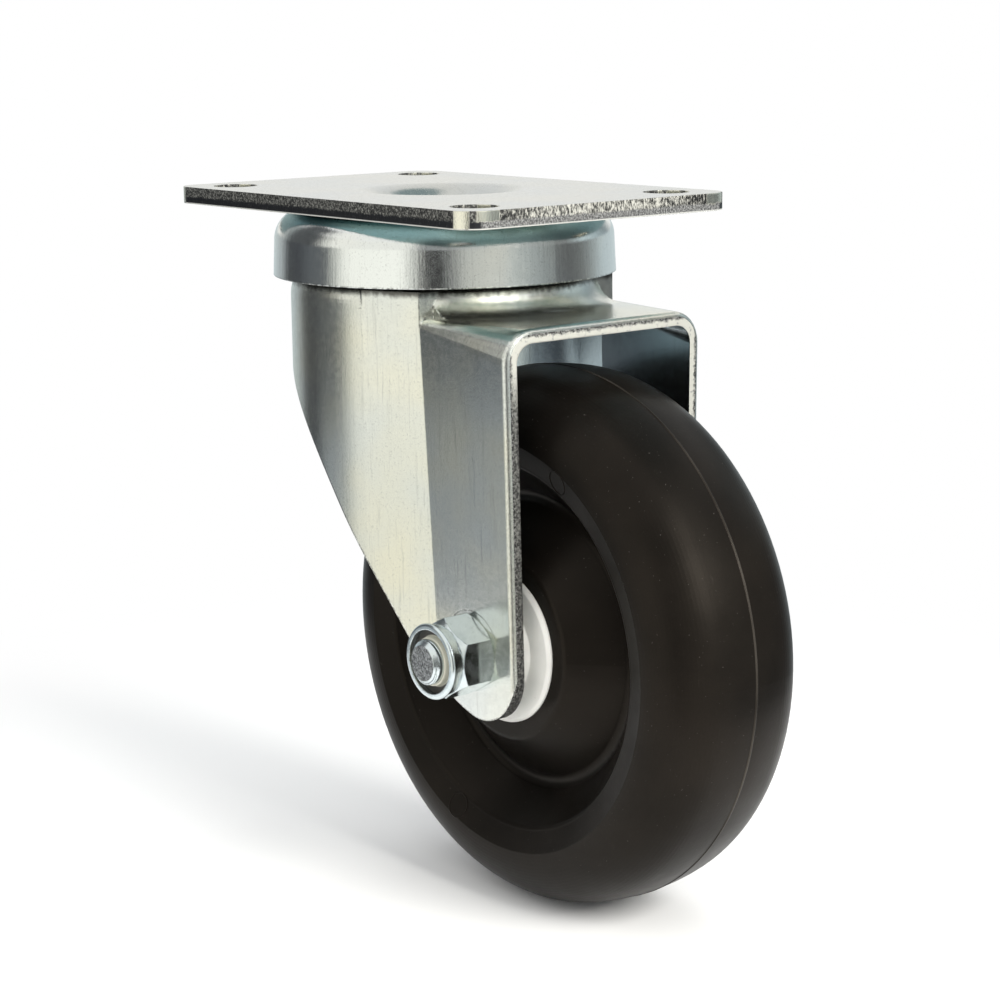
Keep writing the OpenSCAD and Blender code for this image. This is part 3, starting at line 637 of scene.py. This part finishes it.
# Top of the cards that the legs see, and the inner edge and rise of their foot on the floor
CARD_LOW = -0.075
CARD_FOOT = 0.172
FOOT_RISE = 0.3 * MM
LOW_CARDS = (
    (0, (0.56, 0.60, 0.60)),
    (16, (0.40, 0.44, 0.45)),
    (29, (0.28, 0.31, 0.32)),
    (40, (0.13, 0.14, 0.15)),
    (50, (0.12, 0.13, 0.14)),
    (62, (0.20, 0.22, 0.23)),
    (85, (0.54, 0.61, 0.63)),
    (120, (0.62, 0.70, 0.72)),
    (165, (0.62, 0.70, 0.72)),
    (190, (0.42, 0.45, 0.46)),
    (200, (0.08, 0.085, 0.09)),
    (215, (0.065, 0.07, 0.08)),
    (226, (0.11, 0.12, 0.13)),
    (236, (0.12, 0.13, 0.14)),
    (243, (0.15, 0.16, 0.165)),
    (250, (0.60, 0.61, 0.57)),
    (259, (1.10, 1.09, 1.01)),
    (296, (1.14, 1.13, 1.05)),
    (304, (0.62, 0.62, 0.58)),
    (310, (0.08, 0.08, 0.08)),
    (319, (0.03, 0.03, 0.03)),
    (325, (0.22, 0.23, 0.23)),
    (336, (0.58, 0.59, 0.56)),
    (352, (0.62, 0.64, 0.62)),
)
# The same cards as the legs see them, with a grey one for the near leg and a softer bright one
LEG_GREY = (0.36, 0.385, 0.40)
LEG_BRIGHT = (1.0, 0.99, 0.90)
LEG_CARDS = tuple(
    (a, LEG_GREY if 220 < a < 245 else LEG_BRIGHT if 255 < a < 300 else c) for a, c in LOW_CARDS
)
HIGH_CARDS = (
    (0, (0.52, 0.55, 0.56)),
    (29, (0.32, 0.35, 0.36)),
    (44, (0.20, 0.21, 0.22)),
    (62, (0.58, 0.70, 0.76)),
    (95, (0.24, 0.29, 0.31)),
    (116, (1.0, 1.0, 0.98)),
    (176, (1.0, 1.0, 0.98)),
    (194, (0.34, 0.37, 0.37)),
    (203, (0.10, 0.105, 0.11)),
    (230, (0.08, 0.085, 0.09)),
    (246, (1.0, 0.99, 0.93)),
    (300, (1.0, 0.99, 0.93)),
    (308, (0.30, 0.31, 0.31)),
    (322, (0.34, 0.35, 0.36)),
    (340, (0.56, 0.58, 0.58)),
)
TOP_CARDS = (
    (0, (1.0, 1.0, 1.0)),
    (186, (1.0, 1.0, 1.0)),
    (202, (0.10, 0.105, 0.11)),
    (224, (0.10, 0.105, 0.11)),
    (238, (1.0, 0.99, 0.95)),
    (359, (1.0, 1.0, 1.0)),
)
# Blue-grey card over the part, which the upward faces mirror
CEILING_PLACE = (0.10, 0.16, 0.20)
CEILING_RADIUS = 0.18
CEILING_COLOUR = (0.28, 0.37, 0.40)


def emission(material, colour):
    """Makes a material only shine, with the given colour or with what another node gives."""
    tree = material.node_tree
    shine = tree.nodes.new("ShaderNodeEmission")
    if isinstance(colour, bpy.types.NodeSocket):
        tree.links.new(colour, shine.inputs["Color"])
    else:
        shine.inputs["Color"].default_value = rgba(colour)
    tree.links.new(shine.outputs["Emission"], tree.nodes["Material Output"].inputs["Surface"])


def only_mirrored(card):
    """Lets a card of the studio show in shiny surfaces and nowhere else."""
    card.visible_camera = False
    card.visible_diffuse = False
    card.visible_shadow = False
    card.visible_transmission = False


def make_ceiling():
    """Card over the part that only the shiny surfaces mirror."""
    bpy.ops.mesh.primitive_circle_add(
        vertices=64, radius=CEILING_RADIUS, fill_type="NGON", location=CEILING_PLACE
    )
    card = bpy.context.object
    card.name = "ceiling_card"
    g = Graph("ceiling_card")
    emission(g.material, CEILING_COLOUR)
    card.data.materials.append(g.material)
    only_mirrored(card)


def make_cards(name, low, high, cards, low_radius=CARD_RADIUS):
    """Ring of grey, dark and bright cards that only the shiny surfaces mirror."""
    bpy.ops.mesh.primitive_cone_add(
        vertices=180,
        radius1=low_radius,
        radius2=CARD_RADIUS,
        depth=high - low,
        end_fill_type="NOTHING",
        location=(0, 0, (high + low) / 2),
    )
    ring = bpy.context.object
    ring.name = name
    g = Graph(name)
    axes = g.axes()
    turn = g.math("ARCTAN2", axes["Y"], axes["X"])
    share = g.math("FRACT", g.math("DIVIDE", turn, 2 * math.pi))
    ramp = g.add("ShaderNodeValToRGB")
    g.feed(ramp.inputs["Fac"], share)
    stops = ramp.color_ramp.elements
    while len(stops) < len(cards):
        stops.new(0.5)
    for stop, (azimuth, colour) in zip(stops, cards):
        stop.position = azimuth / 360
        stop.color = rgba(colour)
    emission(g.material, ramp.outputs["Color"])
    ring.data.materials.append(g.material)
    only_mirrored(ring)


FLOOR_REACH = 6.0
FLOOR_NEAR = 0.09
FLOOR_FAR = 0.21
FLOOR_COLOUR = (0.95, 0.95, 0.95)


def make_floor():
    """Pale floor that takes the shadow near the object and runs out into the white round it."""
    bpy.ops.mesh.primitive_circle_add(
        vertices=96, radius=FLOOR_REACH, fill_type="NGON", location=(0, 0, FLOOR_Z)
    )
    floor = bpy.context.object
    floor.name = "studio_floor"
    g = Graph("studio_floor")
    g.set(Base_Color=rgba(FLOOR_COLOUR), Roughness=0.9, Specular_IOR_Level=0.0)
    length = g.add("ShaderNodeVectorMath", operation="LENGTH")
    g.feed(length.inputs[0], g.place)
    far = g.rise(length.outputs["Value"], FLOOR_NEAR, FLOOR_FAR)
    shine = g.add("ShaderNodeEmission")
    shine.inputs["Color"].default_value = (1, 1, 1, 1)
    both = g.add("ShaderNodeMixShader")
    g.feed(both.inputs["Fac"], far)
    g.feed(both.inputs[1], g.shader.outputs["BSDF"])
    g.feed(both.inputs[2], shine.outputs["Emission"])
    g.feed(g.tree.nodes["Material Output"].inputs["Surface"], both.outputs["Shader"])
    floor.data.materials.append(g.material)


WORLD_LIGHT = (0.95, 0.98, 1.0)
WORLD_STRENGTH = 0.58


def make_world():
    """White background, with a softer light on the object itself."""
    world = bpy.data.worlds.new("studio")
    bpy.context.scene.world = world
    world.use_nodes = True
    tree = world.node_tree
    light = tree.nodes["Background"]
    light.inputs["Color"].default_value = rgba(WORLD_LIGHT)
    light.inputs["Strength"].default_value = WORLD_STRENGTH
    white = tree.nodes.new("ShaderNodeBackground")
    white.inputs["Color"].default_value = (1, 1, 1, 1)
    white.inputs["Strength"].default_value = 1.0
    path = tree.nodes.new("ShaderNodeLightPath")
    seen = path.outputs["Is Camera Ray"]
    for name in ("Is Glossy Ray", "Is Transmission Ray"):
        either = tree.nodes.new("ShaderNodeMath")
        either.operation = "MAXIMUM"
        tree.links.new(seen, either.inputs[0])
        tree.links.new(path.outputs[name], either.inputs[1])
        seen = either.outputs["Value"]
    both = tree.nodes.new("ShaderNodeMixShader")
    tree.links.new(seen, both.inputs["Fac"])
    tree.links.new(light.outputs["Background"], both.inputs[1])
    tree.links.new(white.outputs["Background"], both.inputs[2])
    tree.links.new(both.outputs["Shader"], tree.nodes["World Output"].inputs["Surface"])


# Soft lamps: name, azimuth from +X and elevation in degrees, distance, width, power, colour, and
# whether shiny surfaces mirror the lamp itself
LAMPS = (
    ("key_softbox", 300, 36, 0.80, 0.80, 3.0, (1.0, 0.97, 0.92), False),
    ("fill_softbox", 4, 30, 0.85, 0.35, 8.0, (1.0, 0.98, 0.93), True),
    ("top_softbox", 120, 75, 0.90, 0.70, 2.5, (1.0, 1.0, 1.0), False),
)
LAMP_AIM = Vector((0.02, 0.0, -0.06))


def make_lamps():
    """Square soft lamps, each turned to the part."""
    for name, azimuth, elevation, distance, width, power, colour, mirrored in LAMPS:
        a, e = math.radians(azimuth), math.radians(elevation)
        away = Vector((math.cos(a) * math.cos(e), math.sin(a) * math.cos(e), math.sin(e)))
        data = bpy.data.lights.new(name, "AREA")
        data.shape = "SQUARE"
        data.size = width
        data.energy = power
        data.color = colour
        lamp = bpy.data.objects.new(name, data)
        lamp.location = LAMP_AIM + away * distance
        lamp.rotation_euler = (-away).to_track_quat("-Z", "Y").to_euler()
        lamp.visible_glossy = mirrored
        bpy.context.scene.collection.objects.link(lamp)


paint_part()
make_camera()
make_world()
make_floor()
make_cards("foot_cards", CARD_BOTTOM - FOOT_RISE, CARD_BOTTOM, LEG_CARDS, CARD_FOOT)
make_cards("leg_cards", CARD_BOTTOM, CARD_LOW, LEG_CARDS)
make_cards("low_cards", CARD_LOW, CARD_MIDDLE, LOW_CARDS)
make_cards("high_cards", CARD_MIDDLE, CARD_HIGH, HIGH_CARDS)
make_cards("top_cards", CARD_HIGH, CARD_TOP, TOP_CARDS)
make_ceiling()
make_lamps()
bpy.context.scene.view_settings.view_transform = "Standard"
